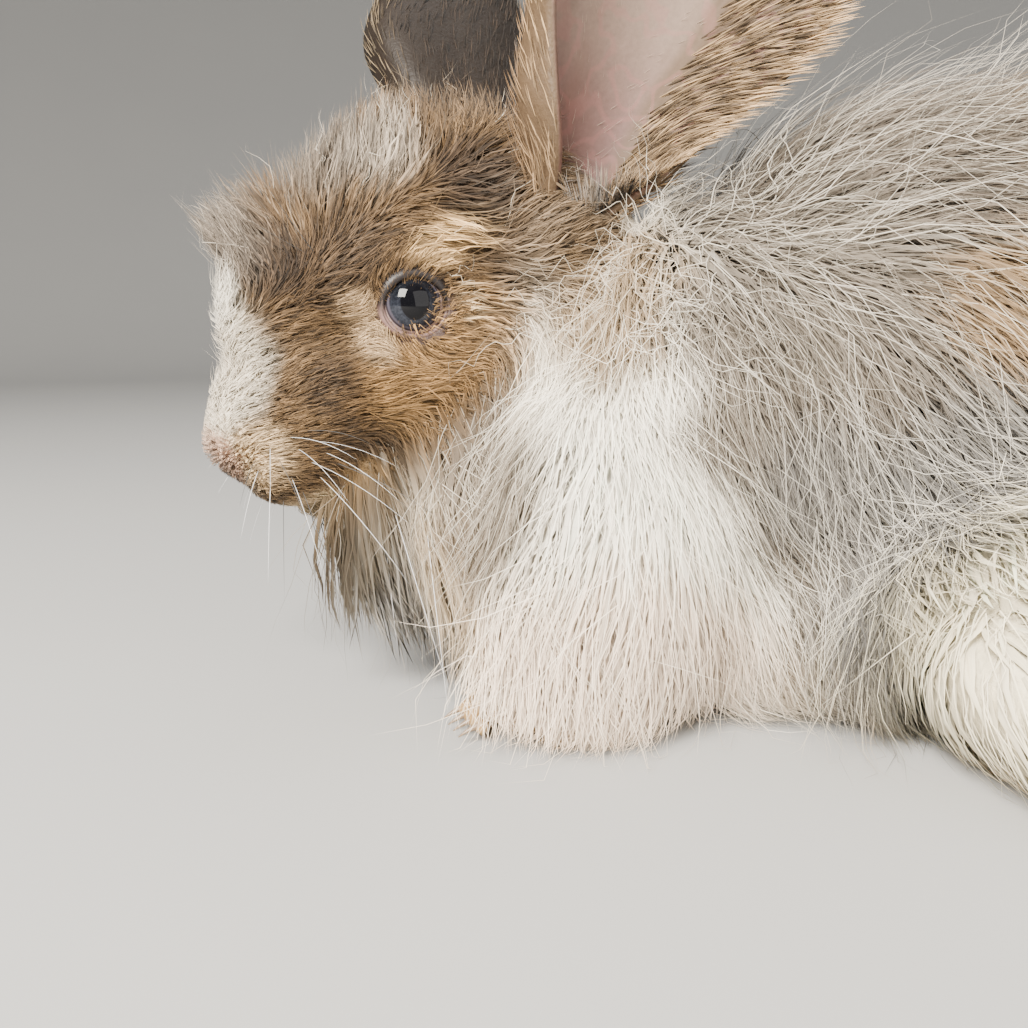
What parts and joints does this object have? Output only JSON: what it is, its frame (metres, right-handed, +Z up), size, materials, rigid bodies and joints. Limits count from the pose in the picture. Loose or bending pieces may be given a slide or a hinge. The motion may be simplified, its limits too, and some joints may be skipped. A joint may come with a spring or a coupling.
{
  "type": "angora rabbit",
  "caption": "Still, life-size long-haired rabbit crouched on the floor, head turned to its left, one ear up and one forward, one hind foot stretched out to the side.",
  "frame": {"origin": "on the floor under the belly, at the middle of the flat on which the belly rests", "axes": "+Z up, the rabbit's length along X with its nose to -X, its left side to -Y"},
  "size_m": [0.3072, 0.2356, 0.2284],
  "materials": {
    "agouti_fur": "short agouti fur, brown and tan with a pale nose",
    "ruff_wool": "soft grey-beige wool",
    "white_wool": "long white wool with a warm cast low down",
    "grey_wool": "long blue-grey to fawn wool in tapered locks",
    "ear_skin": "thin pinkish-grey skin with short tan fur at the rims and behind",
    "eye": "wet blue-grey iris with a large black pupil",
    "leg_fur": "white wool, stained yellow-brown near the floor, with dark claws",
    "claw": "horn, translucent brown",
    "whisker": "fine stiff hair"
  },
  "bodies": {
    "root": {"head": "agouti_fur", "neck": "ruff_wool", "chest": "white_wool", "torso": "grey_wool", "rump": "grey_wool", "tail": "grey_wool", "ear_left": "ear_skin", "ear_right": "ear_skin", "eye_left": "eye", "eye_right": "eye", "foreleg_left": "leg_fur", "foreleg_right": "leg_fur", "hind_leg_left": "leg_fur", "hind_leg_right": "leg_fur"}
  },
  "joints": []
}
